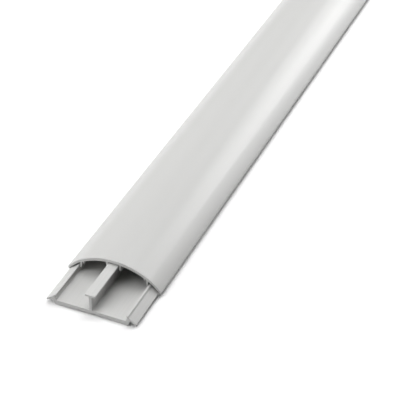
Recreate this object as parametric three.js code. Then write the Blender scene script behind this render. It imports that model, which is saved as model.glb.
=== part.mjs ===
// Floor cord cover: a two-channel floor trunking of extruded PVC.
// Millimetres, +Z up. X runs across the cover, Y along it and Z = 0 is the floor.
// The origin is under the middle of the whole object. The near end faces -Y.

import * as THREE from 'three';
import { mergeVertices } from 'three/addons/utils/BufferGeometryUtils.js';

// Lengths along Y
const baseLength = 1000;
const coverLength = 1000;
const coverSetBack = 24.5; // how far the cover is slid back from the base's near end

// Play between the cover and the base, where they seat or hook
const fitGap = 0.3;

// Cover: a shallow arch that turns down a few degrees more steeply on each flank
const coverWidth = 50;
const crownHeight = 14.4; // top of the arch above the floor
const shoulderHeight = 3.1; // where the arch ends at its side edges, above the floor
const archRadius = 34.5;
const flankStart = 19; // where a flank begins, from the middle
const flankRadius = 45;
const coverWall = 1.75; // thickness, measured upright
const noseWidth = 1; // solid edge outside the base's flange
const noseDrop = 1.5; // height of that edge's outer face
const noseRound = 0.45;

// Cover: clip legs, the short teeth beside them and the two middle ribs
const legWall = 1.1;
const legTaper = 0.35; // how much thinner a leg is at its lower end
const barbReach = 0.45;
const barbFace = 0.25; // upright face at the barb's tip
const barbRun = 0.25; // height of the barb's slanting lower side
const toothOffset = 0.55; // clear space between a leg and its tooth
const toothWall = 0.6;
const toothDepth = 0.9;
const ribWall = 0.95;
const ribDepth = 3.4;

// Base: floor plate with a shallow hollow below
const plateTop = 2.75;
const hollowDepth = 0.85;
const footWidth = 2.6; // flat strip that stands on the floor, on each side of the hollow
const footChamfer = 0.6;

// Base: side walls, each with a small ridge, a snap groove and a sloping flange
const wallFoot = 1.1; // thickness of the wall just above the foot's chamfer
const wallRoot = 1.85; // thickness of the wall where it meets the flange
const ridgeWidth = 1;
const ridgePlay = 0.65; // between the ridge and the cover's underside
const ridgeDrop = 0.5; // width of the slope from the ridge down to the flange
const beadHeight = 0.55; // the part of the ridge that hangs over the snap groove
const grooveRun = 0.45; // height of the groove's slanting lower side
const flangeRun = 4.25; // from the ridge's outer side to the flange's tip
const flangeSlope = 33; // degrees below level, outwards
const flangeWall = 1.2; // thickness, measured upright
const flangeEndLean = 0.15;

// Base: the T-shaped divider in the middle
const stemWall = 1.5;
const headWidth = 5.4;
const headWall = 1.1;
const headPlay = 0.65; // between the divider's head and the crown of the cover

// Rounding of the extruded edges
const edgeRound = 0.3;
const innerRound = 0.45;
const rootRound = 0.8;
const tipRound = 0.2;

// Fineness of the faceted arcs
const archSteps = 40; // for half of the arch
const hollowSteps = 10; // for half of the hollow
const roundSteps = 4; // for one rounded corner

// The arch: one arc over the middle, and an arc on each side from the flank's start to the edge
const coverHalf = coverWidth / 2;
const archCentre = crownHeight - archRadius;
const flankTop = new THREE.Vector2(flankStart, archHeightAt(flankStart));
const flankFoot = new THREE.Vector2(coverHalf, shoulderHeight);
const flankCentre = arcCentreBelow(flankTop, flankFoot, flankRadius);

function archHeightAt(x) {
  return archCentre + Math.sqrt(archRadius ** 2 - x ** 2);
}

// Centre of the arc that bulges up and outwards between two points
function arcCentreBelow(from, to, radius) {
  const chord = to.clone().sub(from);
  const halfChord = chord.length() / 2;
  const inward = new THREE.Vector2(chord.y, -chord.x).normalize();
  const middle = from.clone().add(to).multiplyScalar(0.5);
  return middle.addScaledVector(inward, Math.sqrt(radius ** 2 - halfChord ** 2));
}

function flankHeightAt(x, radius) {
  return flankCentre.y + Math.sqrt(radius ** 2 - (x - flankCentre.x) ** 2);
}

function coverTopAt(x) {
  return x <= flankStart ? archHeightAt(x) : flankHeightAt(x, flankRadius);
}

function coverUnderAt(x) {
  return coverTopAt(x) - coverWall;
}

// Height at x, under a flank, that keeps the given distance from the cover's underside
function clearOfFlankAt(x, play) {
  return flankHeightAt(x, flankRadius - play) - coverWall;
}

// Places that both pieces share, on the +X side
const noseInner = coverHalf - noseWidth;
const flangeReach = noseInner - fitGap;
const ridgeOuter = flangeReach - flangeRun;
const channelHalf = ridgeOuter - ridgeWidth;
const ridgeTop = clearOfFlankAt(ridgeOuter, ridgePlay);
const beadUnder = ridgeTop - beadHeight;
const barbTop = beadUnder - fitGap;
const legEnd = barbTop - barbFace - barbRun;
const legOuter = channelHalf - fitGap;
const legInner = legOuter - legWall;
const barbTip = legOuter + barbReach;
const headHalf = headWidth / 2;
const headTop = crownHeight - coverWall - headPlay;

// A corner of an outline: its place in the section and the radius that rounds it
function corner(x, z, round = 0) {
  return { point: new THREE.Vector2(x, z), round };
}

// Points evenly spaced in x along a curve, both ends included
function alongCurve(heightAt, from, to, steps) {
  const corners = [];
  for (let i = 0; i <= steps; i += 1) {
    const x = from + ((to - from) * i) / steps;
    corners.push(corner(x, heightAt(x)));
  }
  return corners;
}

// The facets that round one corner between its two neighbours
function roundedCorner(before, here, after) {
  if (here.round === 0) {
    return [here.point];
  }
  const toBefore = before.point.clone().sub(here.point).normalize();
  const toAfter = after.point.clone().sub(here.point).normalize();
  const halfAngle = Math.acos(toBefore.dot(toAfter)) / 2;
  const setback = here.round / Math.tan(halfAngle);
  const bisector = toBefore.clone().add(toAfter).normalize();
  const centre = here.point.clone().addScaledVector(bisector, here.round / Math.sin(halfAngle));
  const first = here.point.clone().addScaledVector(toBefore, setback).sub(centre);
  const last = here.point.clone().addScaledVector(toAfter, setback).sub(centre);
  const turn = Math.atan2(first.cross(last), first.dot(last));
  const points = [];
  for (let i = 0; i <= roundSteps; i += 1) {
    const spoke = first.clone().rotateAround(new THREE.Vector2(), (turn * i) / roundSteps);
    points.push(spoke.add(centre));
  }
  return points;
}

// A whole section from its +X half, which runs from x = 0 back to x = 0.
// A mid-point that both halves share is given once.
function mirroredSection(half) {
  const onAxis = (item) => Math.abs(item.point.x) < 1e-9;
  const otherHalf = half
    .filter((item) => !onAxis(item))
    .map((item) => corner(-item.point.x, item.point.y, item.round))
    .reverse();
  const all = [...half, ...otherHalf];
  const outline = all.flatMap((here, i) => {
    const before = all[(i + all.length - 1) % all.length];
    const after = all[(i + 1) % all.length];
    return roundedCorner(before, here, after);
  });
  return new THREE.Shape(outline);
}

// Half of the base's section, anticlockwise from the middle of its underside
function baseHalf() {
  const slope = Math.tan(THREE.MathUtils.degToRad(flangeSlope));
  const flangeTip = clearOfFlankAt(flangeReach, fitGap);
  const flangeTopAt = (x) => flangeTip + (flangeReach - x) * slope;
  const flangeEnd = flangeReach - flangeEndLean;
  const rootOuter = channelHalf + wallRoot;
  const footOuter = channelHalf + wallFoot;
  const footInner = footOuter - footChamfer - footWidth;
  const valley = ridgeOuter + ridgeDrop;
  const hollowRadius = (footInner ** 2 + hollowDepth ** 2) / (2 * hollowDepth);
  const hollowAt = (x) => hollowDepth - hollowRadius + Math.sqrt(hollowRadius ** 2 - x ** 2);
  const grooveFloor = barbTip + fitGap;
  const stemHalf = stemWall / 2;
  const headUnder = headTop - headWall;
  return [
    ...alongCurve(hollowAt, 0, footInner, hollowSteps),
    corner(footOuter - footChamfer, 0),
    corner(footOuter, footChamfer),
    corner(rootOuter, flangeTopAt(rootOuter) - flangeWall, rootRound),
    corner(flangeEnd, flangeTopAt(flangeEnd) - flangeWall, edgeRound),
    corner(flangeReach, flangeTip, edgeRound),
    corner(valley, flangeTopAt(valley), edgeRound),
    corner(ridgeOuter, ridgeTop, edgeRound),
    corner(channelHalf, ridgeTop, tipRound),
    corner(channelHalf, beadUnder),
    corner(grooveFloor, beadUnder),
    corner(grooveFloor, legEnd),
    corner(channelHalf, legEnd - grooveRun),
    corner(channelHalf, plateTop, innerRound),
    corner(stemHalf, plateTop, innerRound),
    corner(stemHalf, headUnder, edgeRound),
    corner(headHalf, headUnder, edgeRound),
    corner(headHalf, headTop, edgeRound),
    corner(0, headTop),
  ];
}

// Half of the cover's section, anticlockwise from the middle of its underside
function coverHalfSection() {
  const ribInner = headHalf + fitGap;
  const ribOuter = ribInner + ribWall;
  const ribEnd = crownHeight - coverWall - ribDepth;
  const toothOuter = legInner - toothOffset;
  const toothInner = toothOuter - toothWall;
  const toothEnd = coverUnderAt(toothOuter) - toothDepth;
  const noseHeight = shoulderHeight - noseDrop;
  const barbLow = barbTop - barbFace;
  const stepsBetween = (from, to) => Math.max(1, Math.round((archSteps * (to - from)) / coverHalf));
  const under = (from, to) => alongCurve(coverUnderAt, from, to, stepsBetween(from, to));
  return [
    ...under(0, ribInner),
    corner(ribInner, ribEnd, edgeRound),
    corner(ribOuter, ribEnd, edgeRound),
    ...under(ribOuter, toothInner),
    corner(toothInner, toothEnd),
    corner(toothOuter, toothEnd),
    ...under(toothOuter, legInner),
    corner(legInner + legTaper, legEnd, tipRound),
    corner(legOuter, legEnd),
    corner(barbTip, barbLow),
    corner(barbTip, barbTop),
    corner(legOuter, barbTop),
    ...under(legOuter, noseInner),
    corner(noseInner, noseHeight, tipRound),
    corner(coverHalf, noseHeight, noseRound),
    corner(coverHalf, shoulderHeight, tipRound),
    ...alongCurve(coverTopAt, coverHalf, 0, archSteps).slice(1),
  ];
}

// A length of one section, drawn in X and Z and run along Y from its near end
function extrudedLength(shape, length) {
  const geometry = new THREE.ExtrudeGeometry(shape, { depth: length, steps: 1, bevelEnabled: false });
  geometry.deleteAttribute('normal');
  geometry.deleteAttribute('uv');
  geometry.rotateX(Math.PI / 2);
  geometry.translate(0, length, 0);
  const merged = mergeVertices(geometry, 1e-5);
  merged.computeVertexNormals();
  return merged;
}

function piece(name, shape, length, nearEnd, material) {
  const mesh = new THREE.Mesh(extrudedLength(shape, length), material);
  mesh.name = name;
  mesh.position.y = nearEnd;
  return mesh;
}

function lightGreyPvc() {
  return new THREE.MeshStandardMaterial({ color: 0xd2d2cf, roughness: 0.5, metalness: 0 });
}

// The whole object's middle is at y = 0
const farEnd = Math.max(baseLength, coverSetBack + coverLength);
const baseNear = -farEnd / 2;

const cordCover = new THREE.Group();
cordCover.add(
  piece('base_channel', mirroredSection(baseHalf()), baseLength, baseNear, lightGreyPvc()),
  piece(
    'clip_on_cover',
    mirroredSection(coverHalfSection()),
    coverLength,
    baseNear + coverSetBack,
    lightGreyPvc(),
  ),
);

export default cordCover;
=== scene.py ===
"""Floor cord cover: the dressed model of a two-channel floor trunking of extruded PVC.

A flanged base with a T-shaped divider, and an arched cover clipped onto it and slid back
a little from the base's near end. Every length is in metres. X runs across the cover,
Y along it towards the far end, and Z = 0 is the floor.
"""

import math

import bmesh
import bpy
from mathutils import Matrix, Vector


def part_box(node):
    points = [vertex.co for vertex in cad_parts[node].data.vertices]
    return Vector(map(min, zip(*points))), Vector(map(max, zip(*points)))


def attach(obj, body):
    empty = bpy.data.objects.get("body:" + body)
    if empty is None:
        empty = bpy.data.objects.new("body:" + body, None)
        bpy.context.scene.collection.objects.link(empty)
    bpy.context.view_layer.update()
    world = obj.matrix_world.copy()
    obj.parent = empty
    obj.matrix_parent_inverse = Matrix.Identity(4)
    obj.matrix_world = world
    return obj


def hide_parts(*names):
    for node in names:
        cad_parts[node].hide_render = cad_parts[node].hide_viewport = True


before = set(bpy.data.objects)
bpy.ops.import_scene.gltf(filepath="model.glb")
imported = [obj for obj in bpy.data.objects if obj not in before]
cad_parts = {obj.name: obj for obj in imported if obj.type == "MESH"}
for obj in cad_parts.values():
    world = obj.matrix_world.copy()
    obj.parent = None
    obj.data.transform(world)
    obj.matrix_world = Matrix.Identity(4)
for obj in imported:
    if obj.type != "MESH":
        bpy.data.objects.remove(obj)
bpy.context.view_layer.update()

bl_info = {
    "name": "Floor Cord Cover",
    "version": (1, 0, 0),
    "blender": (4, 5, 0),
    "location": "View3D > Sidebar > Cord Cover",
    "description": "Builds a two-channel floor cord cover of extruded PVC, with its studio",
    "category": "Add Mesh",
}

BODY = "root"
BASE_NODE = "base_channel"
COVER_NODE = "clip_on_cover"
MILLIMETRE = 0.001
WHITE = (1.0, 1.0, 1.0, 1.0)

# Points closer than this are one point, and faces that turn less than this are one face
SAME_PLACE = 0.001 * MILLIMETRE
SAME_PLANE = math.radians(0.05)

# Sizes of the fine patterns in the PVC
MELT_PATCH = 60 * MILLIMETRE
COVER_LINE_SPACING = 0.7 * MILLIMETRE
BASE_LINE_SPACING = 1.1 * MILLIMETRE
LINE_RUN = 500 * MILLIMETRE
GRAIN_SIZE = 0.45 * MILLIMETRE
TOOTH_MARK = 0.25 * MILLIMETRE
SAW_SWEEP = 5 * MILLIMETRE
RUBBED_WIDTH = 0.3 * MILLIMETRE
RUB_SIZE = 4 * MILLIMETRE

# How far each pattern swings the brightness between its darkest and its palest
COVER_DRIFT = 0.02
BASE_DRIFT = 0.03
COVER_LINE_DEPTH = 0.03
BASE_LINE_DEPTH = 0.15
SAW_MARK_DEPTH = 0.26

# The pale colour of rubbed edges against the skin's, and how much of it they take on
RUBBED_BRIGHTER = 1.15
RUBBED_SHARE = 0.35

# The plastic's own gloss, how far the die lines swing its roughness, and what a cut adds
PVC_IOR = 1.5
LINE_ROUGHNESS = 0.04
SAWN_ROUGHER = 0.25

# Height of the die lines' relief, and the grain's and the saw marks' as multiples of it
RELIEF_HEIGHT = 0.004 * MILLIMETRE
GRAIN_HEIGHT = 0.5
SAW_MARK_HEIGHT = 4.0

# The camera's place, and how far it looks down and turns to the left, in degrees
CAMERA_PLACE = (0.2348, -0.9225, 0.4195)
CAMERA_LOOKS_DOWN = 36.84
CAMERA_TURN = 23.563
SENSOR_WIDTH = 36.0  # in millimetres, as Blender counts it
CLIP_START = 0.01
CLIP_END = 200.0

# The floor lies a hair below the feet, so that no two faces share a plane
FLOOR_RADIUS = 60.0
FLOOR_SIDES = 64
FLOOR_DROP = 0.02 * MILLIMETRE

SOFTBOX_SIDE = 0.5
SOFTBOX_PLACE = (0.0, -0.1, 0.8)

# Each soft light's name, azimuth, elevation and width in degrees, and strength.
# Azimuth 0 is over the near end and 90 over the cover's right side.
SOFT_LIGHTS = (
    ("far_window", 165.0, 27.0, 30.0, 0.6),
    ("far_window_right", 155.0, 22.0, 30.0, 0.5),
    ("far_wall", 180.0, 35.0, 30.0, 0.2),
    ("far_right_wall", 150.0, 35.0, 30.0, 0.2),
    ("low_left_wall", 270.0, 15.0, 20.0, 0.7),
    ("near_left_wall", 300.0, 30.0, 60.0, 1.45),
    ("ceiling", 0.0, 90.0, 30.0, 0.6),
    ("ceiling_left_far", 225.0, 60.0, 30.0, 0.3),
    ("ceiling_left_near", 315.0, 60.0, 30.0, 0.5),
)

# Socket kinds, and for each kind of Mix node its factor, its two inputs and its output
FLOAT = "NodeSocketFloat"
COLOUR = "NodeSocketColor"
MIX_SOCKETS = {"FLOAT": (0, 2, 3, 0), "RGBA": (0, 6, 7, 2)}


class TrunkingFinish(bpy.types.PropertyGroup):
    """Colours, roughness and small edge sizes of the two extrusions."""

    cover_colour: bpy.props.FloatVectorProperty(
        name="Cover Colour",
        description="Colour of the cover's PVC",
        subtype="COLOR",
        size=3,
        min=0.0,
        max=1.0,
        default=(0.56, 0.56, 0.55),
    )
    base_colour: bpy.props.FloatVectorProperty(
        name="Base Colour",
        description="Colour of the base's PVC",
        subtype="COLOR",
        size=3,
        min=0.0,
        max=1.0,
        default=(0.55, 0.55, 0.54),
    )
    # Painted light: the cover's sawn end faces are painted paler than its skin, partly for the paler
    # cut PVC and partly in place of the light that falls on the end faces
    cover_sawn_tone_and_painted_light: bpy.props.FloatProperty(
        name="Cover Sawn Tone And Painted Light",
        description="Brightness of the cover's sawn end faces against its smooth skin",
        subtype="FACTOR",
        min=0.0,
        max=1.5,
        default=1.2,
    )
    # Painted light: the base's sawn end faces are painted paler in the same way, partly paler cut PVC
    # and partly painted light on the end faces
    base_sawn_tone_and_painted_light: bpy.props.FloatProperty(
        name="Base Sawn Tone And Painted Light",
        description="Brightness of the base's sawn end faces against its smooth skin",
        subtype="FACTOR",
        min=0.0,
        max=1.5,
        default=1.12,
    )
    cover_roughness: bpy.props.FloatProperty(
        name="Cover Roughness",
        description="Roughness of the cover's skin",
        subtype="FACTOR",
        min=0.0,
        max=1.0,
        default=0.24,
    )
    base_roughness: bpy.props.FloatProperty(
        name="Base Roughness",
        description="Roughness of the base's skin",
        subtype="FACTOR",
        min=0.0,
        max=1.0,
        default=0.5,
    )
    broken_edge: bpy.props.FloatProperty(
        name="Broken Edge",
        description="Width of the broken edge round each sawn end",
        subtype="DISTANCE",
        unit="LENGTH",
        min=0.0,
        max=0.0005,
        default=0.0001,
    )
    crease_angle: bpy.props.FloatProperty(
        name="Crease Angle",
        description="Edges that turn more than this stay sharp",
        subtype="ANGLE",
        unit="ROTATION",
        min=0.0,
        max=math.pi,
        default=math.radians(30),
    )


class StudioSetup(bpy.types.PropertyGroup):
    """The camera's lens, the floor and the strength of the lights."""

    lens: bpy.props.FloatProperty(
        name="Lens",
        description="Focal length of the camera on a 36 mm sensor",
        subtype="DISTANCE_CAMERA",
        min=10.0,
        max=300.0,
        default=120.2,
    )
    floor_colour: bpy.props.FloatVectorProperty(
        name="Floor Colour",
        description="Colour of the plain studio floor",
        subtype="COLOR",
        size=3,
        min=0.0,
        max=1.0,
        default=(0.95, 0.95, 0.95),
    )
    floor_bounce: bpy.props.FloatProperty(
        name="Floor Bounce",
        description="Brightness of the floor where it lights the object from below",
        subtype="FACTOR",
        min=0.0,
        max=1.0,
        default=0.6,
    )
    floor_glow: bpy.props.FloatProperty(
        name="Floor Glow",
        description="Extra brightness of the floor in the picture, as on a lit background",
        min=0.0,
        max=2.0,
        default=0.03,
    )
    room_light: bpy.props.FloatProperty(
        name="Room Light",
        description="Strength of the even light from all round",
        min=0.0,
        max=2.0,
        default=0.02,
    )
    softbox_power: bpy.props.FloatProperty(
        name="Softbox Power",
        description="Power of the softbox that hangs over the cover",
        subtype="POWER",
        unit="POWER",
        min=0.0,
        max=20.0,
        default=2.8,
    )
    soft_light: bpy.props.FloatProperty(
        name="Soft Light",
        description="Strength of all the distant soft lights together",
        min=0.0,
        max=3.0,
        default=1.0,
    )


def add_object(name, data):
    """A new object that holds this data, linked to the scene."""
    thing = bpy.data.objects.new(name, data)
    bpy.context.scene.collection.objects.link(thing)
    return thing


def add_node(tree, kind, label, **settings):
    """A named node with its settings."""
    node = tree.nodes.new(kind)
    node.name = label
    node.label = label
    for key, value in settings.items():
        setattr(node, key, value)
    return node


def feed(tree, socket, value):
    """Links an input to another node's output, or sets it to a plain value."""
    if isinstance(value, bpy.types.NodeSocket):
        tree.links.new(value, socket)
    else:
        socket.default_value = value


def math_node(tree, operation, label, *values):
    """A Math node; each value is a socket or a number."""
    node = add_node(tree, "ShaderNodeMath", label, operation=operation)
    for socket, value in zip(node.inputs, values):
        feed(tree, socket, value)
    return node.outputs[0]


def mix_node(tree, kind, label, factor, first, second):
    """A Mix node for numbers or colours; each value is a socket or a plain value."""
    node = add_node(tree, "ShaderNodeMix", label, data_type=kind)
    *places, result = MIX_SOCKETS[kind]
    for place, value in zip(places, (factor, first, second)):
        feed(tree, node.inputs[place], value)
    return node.outputs[result]


def scaled_colour(tree, label, colour, brightness):
    """A colour times a brightness."""
    node = add_node(tree, "ShaderNodeVectorMath", label, operation="SCALE")
    tree.links.new(colour, node.inputs[0])
    tree.links.new(brightness, node.inputs["Scale"])
    return node.outputs[0]


def swing(tree, label, pattern, middle, depth):
    """A value that a pattern of 0 to 1 moves up and down about its middle."""
    return math_node(tree, "MULTIPLY_ADD", label, pattern, depth, middle - depth / 2)


def ramp(tree, label, value, zero_at, one_at):
    """A mask that rises from 0 to 1 between two limits of a value."""
    node = add_node(tree, "ShaderNodeMapRange", label)
    tree.links.new(value, node.inputs["Value"])
    node.inputs["From Min"].default_value = zero_at
    node.inputs["From Max"].default_value = one_at
    return node.outputs[0]


def noise_node(tree, label, place, scale, detail=2.0, roughness=0.5):
    """Soft noise of 0 to 1."""
    node = add_node(tree, "ShaderNodeTexNoise", label)
    tree.links.new(place, node.inputs["Vector"])
    feed(tree, node.inputs["Scale"], scale)
    node.inputs["Detail"].default_value = detail
    node.inputs["Roughness"].default_value = roughness
    return node.outputs["Fac"]


def counted_place(tree, place, sizes):
    """A place counted in repeats of a pattern, which has its own size along X, Y and Z."""
    repeats = add_node(tree, "ShaderNodeCombineXYZ", "Repeats Per Metre")
    for axis, size in zip("XYZ", sizes):
        rate = math_node(tree, "DIVIDE", f"Repeats Along {axis}", 1.0, size)
        tree.links.new(rate, repeats.inputs[axis])
    counted = add_node(tree, "ShaderNodeVectorMath", "Counted Place", operation="MULTIPLY")
    tree.links.new(place, counted.inputs[0])
    tree.links.new(repeats.outputs[0], counted.inputs[1])
    return counted.outputs[0]


def new_group(name, inputs, outputs):
    """An empty shader node group with its sockets, and its two end nodes."""
    tree = bpy.data.node_groups.new(name, "ShaderNodeTree")
    for label, kind, default in inputs:
        socket = tree.interface.new_socket(name=label, in_out="INPUT", socket_type=kind)
        socket.default_value = default
    for label, kind in outputs:
        tree.interface.new_socket(name=label, in_out="OUTPUT", socket_type=kind)
    start = add_node(tree, "NodeGroupInput", "Values")
    end = add_node(tree, "NodeGroupOutput", "Results")
    return tree, start, end


def die_line_group():
    """Fine lines that the die leaves along the whole length."""
    tree, start, end = new_group(
        "Die Lines",
        [("Spacing", FLOAT, COVER_LINE_SPACING), ("Run", FLOAT, LINE_RUN)],
        [("Lines", FLOAT)],
    )
    place = add_node(tree, "ShaderNodeTexCoord", "Place").outputs["Object"]
    spacing = start.outputs["Spacing"]
    counted = counted_place(tree, place, (spacing, start.outputs["Run"], spacing))
    lines = noise_node(tree, "Drawn Lines", counted, scale=1.0, detail=3.0, roughness=0.6)
    tree.links.new(lines, end.inputs["Lines"])
    return tree


def grain_group():
    """The fine even grain of a satin plastic skin."""
    tree, start, end = new_group("Plastic Grain", [("Size", FLOAT, GRAIN_SIZE)], [("Grain", FLOAT)])
    place = add_node(tree, "ShaderNodeTexCoord", "Place").outputs["Object"]
    scale = math_node(tree, "DIVIDE", "Grains Per Metre", 1.0, start.outputs["Size"])
    tree.links.new(noise_node(tree, "Grain", place, scale), end.inputs["Grain"])
    return tree


def tone_group():
    """A colour that drifts a little in brightness from patch to patch, as in a pigmented melt."""
    tree, start, end = new_group(
        "Melt Tone",
        [("Colour", COLOUR, WHITE), ("Patch", FLOAT, MELT_PATCH), ("Drift", FLOAT, COVER_DRIFT)],
        [("Colour", COLOUR)],
    )
    place = add_node(tree, "ShaderNodeTexCoord", "Place").outputs["Object"]
    scale = math_node(tree, "DIVIDE", "Patches Per Metre", 1.0, start.outputs["Patch"])
    patches = noise_node(tree, "Patches", place, scale, detail=3.0)
    centred = math_node(tree, "SUBTRACT", "Centred", patches, 0.5)
    drift = math_node(tree, "MULTIPLY", "Swing", centred, start.outputs["Drift"])
    brightness = math_node(tree, "ADD", "Brightness", drift, 1.0)
    toned = scaled_colour(tree, "Toned Colour", start.outputs["Colour"], brightness)
    tree.links.new(toned, end.inputs["Colour"])
    return tree


def sawn_end_group():
    """Where a face was cut across the extrusion, and the fine marks that the saw left on it."""
    tree, start, end = new_group(
        "Sawn End",
        [("Tooth Mark", FLOAT, TOOTH_MARK), ("Sweep", FLOAT, SAW_SWEEP)],
        [("Mask", FLOAT), ("Marks", FLOAT)],
    )
    place = add_node(tree, "ShaderNodeTexCoord", "Place")
    facing = add_node(tree, "ShaderNodeSeparateXYZ", "Facing")
    tree.links.new(place.outputs["Normal"], facing.inputs[0])
    along = math_node(tree, "ABSOLUTE", "Facing Along", facing.outputs["Y"])
    tree.links.new(ramp(tree, "Cut Face", along, zero_at=0.8, one_at=0.95), end.inputs["Mask"])
    tooth = start.outputs["Tooth Mark"]
    counted = counted_place(tree, place.outputs["Object"], (start.outputs["Sweep"], tooth, tooth))
    tree.links.new(noise_node(tree, "Saw Marks", counted, scale=1.0), end.inputs["Marks"])
    return tree


def rubbed_edge_group():
    """Outer edges that handling has rubbed here and there."""
    tree, start, end = new_group(
        "Rubbed Edge",
        [("Width", FLOAT, RUBBED_WIDTH), ("Size", FLOAT, RUB_SIZE)],
        [("Mask", FLOAT)],
    )
    rounded = add_node(tree, "ShaderNodeBevel", "Rounded Normal", samples=4)
    tree.links.new(start.outputs["Width"], rounded.inputs["Radius"])
    surface = add_node(tree, "ShaderNodeNewGeometry", "Surface")
    agree = add_node(tree, "ShaderNodeVectorMath", "Agreement", operation="DOT_PRODUCT")
    tree.links.new(rounded.outputs[0], agree.inputs[0])
    tree.links.new(surface.outputs["Normal"], agree.inputs[1])
    edge = ramp(tree, "Edge", agree.outputs["Value"], zero_at=0.98, one_at=0.85)
    place = add_node(tree, "ShaderNodeTexCoord", "Place").outputs["Object"]
    scale = math_node(tree, "DIVIDE", "Rubs Per Metre", 1.0, start.outputs["Size"])
    patchy = ramp(tree, "Patchy", noise_node(tree, "Rubs", place, scale), zero_at=0.4, one_at=0.65)
    tree.links.new(math_node(tree, "MULTIPLY", "Rubbed", edge, patchy), end.inputs["Mask"])
    return tree


GROUP_MAKERS = {
    "Die Lines": die_line_group,
    "Plastic Grain": grain_group,
    "Melt Tone": tone_group,
    "Sawn End": sawn_end_group,
    "Rubbed Edge": rubbed_edge_group,
}


def use_group(tree, name, **values):
    """A shared effect placed in a material with its own values, and built the first time."""
    group = bpy.data.node_groups.get(name) or GROUP_MAKERS[name]()
    node = add_node(tree, "ShaderNodeGroup", name, node_tree=group)
    for label, value in values.items():
        node.inputs[label.replace("_", " ")].default_value = value
    return node


def pvc_colour(tree, colour, drift, lines, line_depth, sawn, sawn_tone_and_painted_light):
    """The skin's colour with its die lines, the sawn ends' colour painted paler (partly paler cut PVC,
    partly painted light on the end faces), and paler rubbed edges.
    """
    tone = use_group(tree, "Melt Tone", Colour=(*colour, 1.0), Patch=MELT_PATCH, Drift=drift)
    line_tone = swing(tree, "Line Tone", lines, 1.0, line_depth)
    skin = scaled_colour(tree, "Lined Colour", tone.outputs["Colour"], line_tone)
    # Painted light: the sawn ends are brightened above the skin, partly for the paler cut and partly as
    # painted light on the end faces
    mark_tone = swing(tree, "Mark Tone", sawn.outputs["Marks"], sawn_tone_and_painted_light, SAW_MARK_DEPTH)
    cut = scaled_colour(tree, "Sawn Colour", tone.outputs["Colour"], mark_tone)
    skin_or_cut = mix_node(tree, "RGBA", "Skin Or Cut", sawn.outputs["Mask"], skin, cut)
    rubbed = use_group(tree, "Rubbed Edge", Width=RUBBED_WIDTH, Size=RUB_SIZE)
    share = math_node(tree, "MULTIPLY", "Rub Share", rubbed.outputs["Mask"], RUBBED_SHARE)
    pale = tuple(min(1.0, channel * RUBBED_BRIGHTER) for channel in colour)
    return mix_node(tree, "RGBA", "Rubbed Colour", share, skin_or_cut, (*pale, 1.0))


def pvc_roughness(tree, roughness, lines, sawn):
    """The skin's roughness, which the die lines vary a little, and rougher sawn ends."""
    skin = swing(tree, "Skin Roughness", lines, roughness, LINE_ROUGHNESS)
    return math_node(tree, "MULTIPLY_ADD", "Cut Roughness", sawn.outputs["Mask"], SAWN_ROUGHER, skin)


def pvc_relief(tree, lines, sawn):
    """Bump from the die lines and the grain on the skin, and from the saw marks on a cut."""
    grain = use_group(tree, "Plastic Grain", Size=GRAIN_SIZE)
    grain_height = math_node(tree, "MULTIPLY", "Grain Height", grain.outputs["Grain"], GRAIN_HEIGHT)
    skin_height = math_node(tree, "ADD", "Skin Height", lines, grain_height)
    mark_height = math_node(tree, "MULTIPLY", "Mark Height", sawn.outputs["Marks"], SAW_MARK_HEIGHT)
    height = mix_node(tree, "FLOAT", "Height", sawn.outputs["Mask"], skin_height, mark_height)
    bump = add_node(tree, "ShaderNodeBump", "Relief")
    bump.inputs["Strength"].default_value = 1.0
    bump.inputs["Distance"].default_value = RELIEF_HEIGHT
    tree.links.new(height, bump.inputs["Height"])
    return bump.outputs[0]


def pvc_material(name, colour, roughness, sawn_tone_and_painted_light, line_spacing, line_depth, drift):
    """Extruded light grey PVC: satin skin with die lines, sawn ends painted paler (partly painted
    light), and rubbed edges.
    """
    material = bpy.data.materials.new(name)
    material.use_nodes = True
    tree = material.node_tree
    tree.nodes.clear()
    output = add_node(tree, "ShaderNodeOutputMaterial", "Output")
    plastic = add_node(tree, "ShaderNodeBsdfPrincipled", "PVC")
    plastic.inputs["IOR"].default_value = PVC_IOR
    tree.links.new(plastic.outputs[0], output.inputs["Surface"])
    die = use_group(tree, "Die Lines", Spacing=line_spacing, Run=LINE_RUN)
    lines = die.outputs["Lines"]
    sawn = use_group(tree, "Sawn End", Tooth_Mark=TOOTH_MARK, Sweep=SAW_SWEEP)
    tint = pvc_colour(tree, colour, drift, lines, line_depth, sawn, sawn_tone_and_painted_light)
    tree.links.new(tint, plastic.inputs["Base Color"])
    tree.links.new(pvc_roughness(tree, roughness, lines, sawn), plastic.inputs["Roughness"])
    tree.links.new(pvc_relief(tree, lines, sawn), plastic.inputs["Normal"])
    return material


def break_sawn_edge(solid, end, inward, width):
    """Gives the outline of one sawn end a narrow 45 degree edge, inside the piece's own length."""
    flat = [face for face in solid.faces if all(abs(v.co.y - end) < SAME_PLACE for v in face.verts)]
    if len(flat) > 1:
        flat = bmesh.ops.dissolve_faces(solid, faces=flat, use_verts=False)["region"]
    (face,) = flat
    band = bmesh.ops.inset_region(
        solid, faces=[face], thickness=width, use_even_offset=True, use_boundary=True
    )["faces"]
    rim = {vert for strip in band for vert in strip.verts} - set(face.verts)
    bmesh.ops.translate(solid, verts=list(rim), vec=(0.0, inward * width, 0.0))


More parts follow.
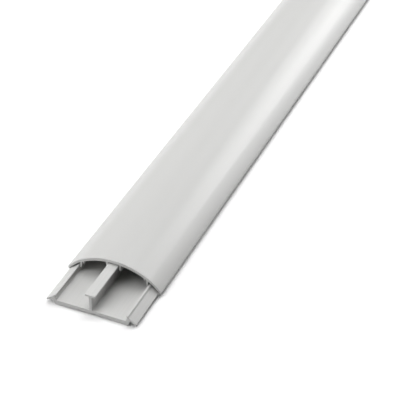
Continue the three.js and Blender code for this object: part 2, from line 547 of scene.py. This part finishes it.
def merged_extrusion(node_name, piece_name, broken_edge, crease_angle):
    """A piece made from a copy of its CAD node: one closed skin, with its sawn edges broken."""
    low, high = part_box(node_name)
    solid = bmesh.new()
    solid.from_mesh(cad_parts[node_name].data)
    bmesh.ops.remove_doubles(solid, verts=solid.verts, dist=SAME_PLACE)
    bmesh.ops.dissolve_limit(solid, angle_limit=SAME_PLANE, verts=solid.verts, edges=solid.edges)
    break_sawn_edge(solid, low.y, 1.0, broken_edge)
    break_sawn_edge(solid, high.y, -1.0, broken_edge)
    for face in solid.faces:
        face.smooth = True
    for edge in solid.edges:
        edge.smooth = edge.calc_face_angle() < crease_angle
    mesh = bpy.data.meshes.new(piece_name)
    solid.to_mesh(mesh)
    solid.free()
    return add_object(piece_name, mesh)


class CORDCOVER_OT_base_channel(bpy.types.Operator):
    """Build the base: floor plate, side walls with flanges, and the T-shaped divider"""

    bl_idname = "cord_cover.base_channel"
    bl_label = "Base Channel"

    def execute(self, context):
        finish = context.scene.trunking_finish
        piece = merged_extrusion(BASE_NODE, "base_extrusion", finish.broken_edge, finish.crease_angle)
        material = pvc_material(
            "Base PVC",
            finish.base_colour,
            finish.base_roughness,
            finish.base_sawn_tone_and_painted_light,
            BASE_LINE_SPACING,
            BASE_LINE_DEPTH,
            BASE_DRIFT,
        )
        piece.data.materials.append(material)
        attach(piece, BODY)
        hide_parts(BASE_NODE)
        return {"FINISHED"}


class CORDCOVER_OT_clip_on_cover(bpy.types.Operator):
    """Build the arched cover with its clip legs, teeth and ribs"""

    bl_idname = "cord_cover.clip_on_cover"
    bl_label = "Clip-on Cover"

    def execute(self, context):
        finish = context.scene.trunking_finish
        piece = merged_extrusion(COVER_NODE, "cover_extrusion", finish.broken_edge, finish.crease_angle)
        material = pvc_material(
            "Cover PVC",
            finish.cover_colour,
            finish.cover_roughness,
            finish.cover_sawn_tone_and_painted_light,
            COVER_LINE_SPACING,
            COVER_LINE_DEPTH,
            COVER_DRIFT,
        )
        piece.data.materials.append(material)
        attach(piece, BODY)
        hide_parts(COVER_NODE)
        return {"FINISHED"}


def floor_material(colour, bounce, glow):
    """A plain matte floor, brighter in the picture than as a light on the object."""
    material = bpy.data.materials.new("Studio Floor")
    material.use_nodes = True
    tree = material.node_tree
    surface = tree.nodes["Principled BSDF"]
    surface.inputs["Roughness"].default_value = 1.0
    surface.inputs["Specular IOR Level"].default_value = 0.0
    surface.inputs["Emission Color"].default_value = WHITE
    in_picture = add_node(tree, "ShaderNodeLightPath", "Rays").outputs["Is Camera Ray"]
    dim = (bounce, bounce, bounce, 1.0)
    tone = mix_node(tree, "RGBA", "Floor Tone", in_picture, dim, (*colour, 1.0))
    tree.links.new(tone, surface.inputs["Base Color"])
    lit = math_node(tree, "MULTIPLY", "Lit Background", in_picture, glow)
    tree.links.new(lit, surface.inputs["Emission Strength"])
    return material


def studio_floor(colour, bounce, glow):
    """A plain pale floor that reaches far past the object."""
    disc = bmesh.new()
    bmesh.ops.create_circle(disc, cap_ends=True, segments=FLOOR_SIDES, radius=FLOOR_RADIUS)
    bmesh.ops.translate(disc, verts=disc.verts, vec=(0.0, 0.0, -FLOOR_DROP))
    mesh = bpy.data.meshes.new("studio_floor")
    disc.to_mesh(mesh)
    disc.free()
    mesh.materials.append(floor_material(colour, bounce, glow))
    floor = add_object("studio_floor", mesh)


def studio_room(strength):
    """Even white light from all round."""
    world = bpy.data.worlds.new("Studio Room")
    world.use_nodes = True
    background = world.node_tree.nodes["Background"]
    background.inputs["Color"].default_value = WHITE
    background.inputs["Strength"].default_value = strength
    bpy.context.scene.world = world


def soft_sun(name, azimuth, elevation, width, strength):
    """A distant round soft light, with its angles in degrees."""
    light = bpy.data.lights.new(name, "SUN")
    light.angle = math.radians(width)
    light.energy = strength
    turn = math.radians(azimuth)
    rise = math.radians(elevation)
    level = math.cos(rise)
    towards = Vector((math.sin(turn) * level, -math.cos(turn) * level, math.sin(rise)))
    lamp = add_object(name, light)
    lamp.rotation_euler = towards.to_track_quat("Z", "Y").to_euler()


def overhead_softbox(power):
    """A square softbox over the cover, which lights its middle more than its ends."""
    light = bpy.data.lights.new("overhead_softbox", "AREA")
    light.size = SOFTBOX_SIDE
    light.energy = power
    lamp = add_object("overhead_softbox", light)
    lamp.location = SOFTBOX_PLACE
    lamp.visible_camera = False


def photo_camera(lens):
    """The camera at the photograph's place and angle."""
    camera = add_object("photo_camera", bpy.data.cameras.new("photo_camera"))
    camera.data.sensor_width = SENSOR_WIDTH
    camera.data.lens = lens
    camera.data.clip_start = CLIP_START
    camera.data.clip_end = CLIP_END
    camera.location = CAMERA_PLACE
    camera.rotation_euler = (math.radians(90 - CAMERA_LOOKS_DOWN), 0.0, math.radians(CAMERA_TURN))
    bpy.context.scene.camera = camera


class CORDCOVER_OT_studio(bpy.types.Operator):
    """Set up the pale floor, the soft lights and the camera"""

    bl_idname = "cord_cover.studio"
    bl_label = "Studio"

    def execute(self, context):
        studio = context.scene.studio_setup
        context.scene.view_settings.view_transform = "Standard"
        studio_floor(studio.floor_colour, studio.floor_bounce, studio.floor_glow)
        studio_room(studio.room_light)
        for name, azimuth, elevation, width, strength in SOFT_LIGHTS:
            soft_sun(name, azimuth, elevation, width, strength * studio.soft_light)
        overhead_softbox(studio.softbox_power)
        photo_camera(studio.lens)
        return {"FINISHED"}


class CORDCOVER_PT_panel(bpy.types.Panel):
    """Sizes, colours and the building steps of the cord cover"""

    bl_idname = "CORDCOVER_PT_panel"
    bl_label = "Floor Cord Cover"
    bl_space_type = "VIEW_3D"
    bl_region_type = "UI"
    bl_category = "Cord Cover"

    def draw(self, context):
        layout = self.layout
        for title, settings in (
            ("Finish", context.scene.trunking_finish),
            ("Studio", context.scene.studio_setup),
        ):
            layout.label(text=title)
            for key in settings.__annotations__:
                layout.prop(settings, key)
        for operator in STEPS:
            layout.operator(operator.bl_idname)


STEPS = (CORDCOVER_OT_base_channel, CORDCOVER_OT_clip_on_cover, CORDCOVER_OT_studio)
CLASSES = (TrunkingFinish, StudioSetup, *STEPS, CORDCOVER_PT_panel)


def register():
    """Registers the classes, and keeps the two groups of settings on the scene."""
    for cls in CLASSES:
        bpy.utils.register_class(cls)
    bpy.types.Scene.trunking_finish = bpy.props.PointerProperty(type=TrunkingFinish)
    bpy.types.Scene.studio_setup = bpy.props.PointerProperty(type=StudioSetup)


def unregister():
    """Takes back what register did."""
    del bpy.types.Scene.studio_setup
    del bpy.types.Scene.trunking_finish
    for cls in reversed(CLASSES):
        bpy.utils.unregister_class(cls)


def main():
    """Builds both pieces and the studio."""
    register()
    bpy.ops.cord_cover.base_channel()
    bpy.ops.cord_cover.clip_on_cover()
    bpy.ops.cord_cover.studio()


if __name__ == "__main__":
    main()
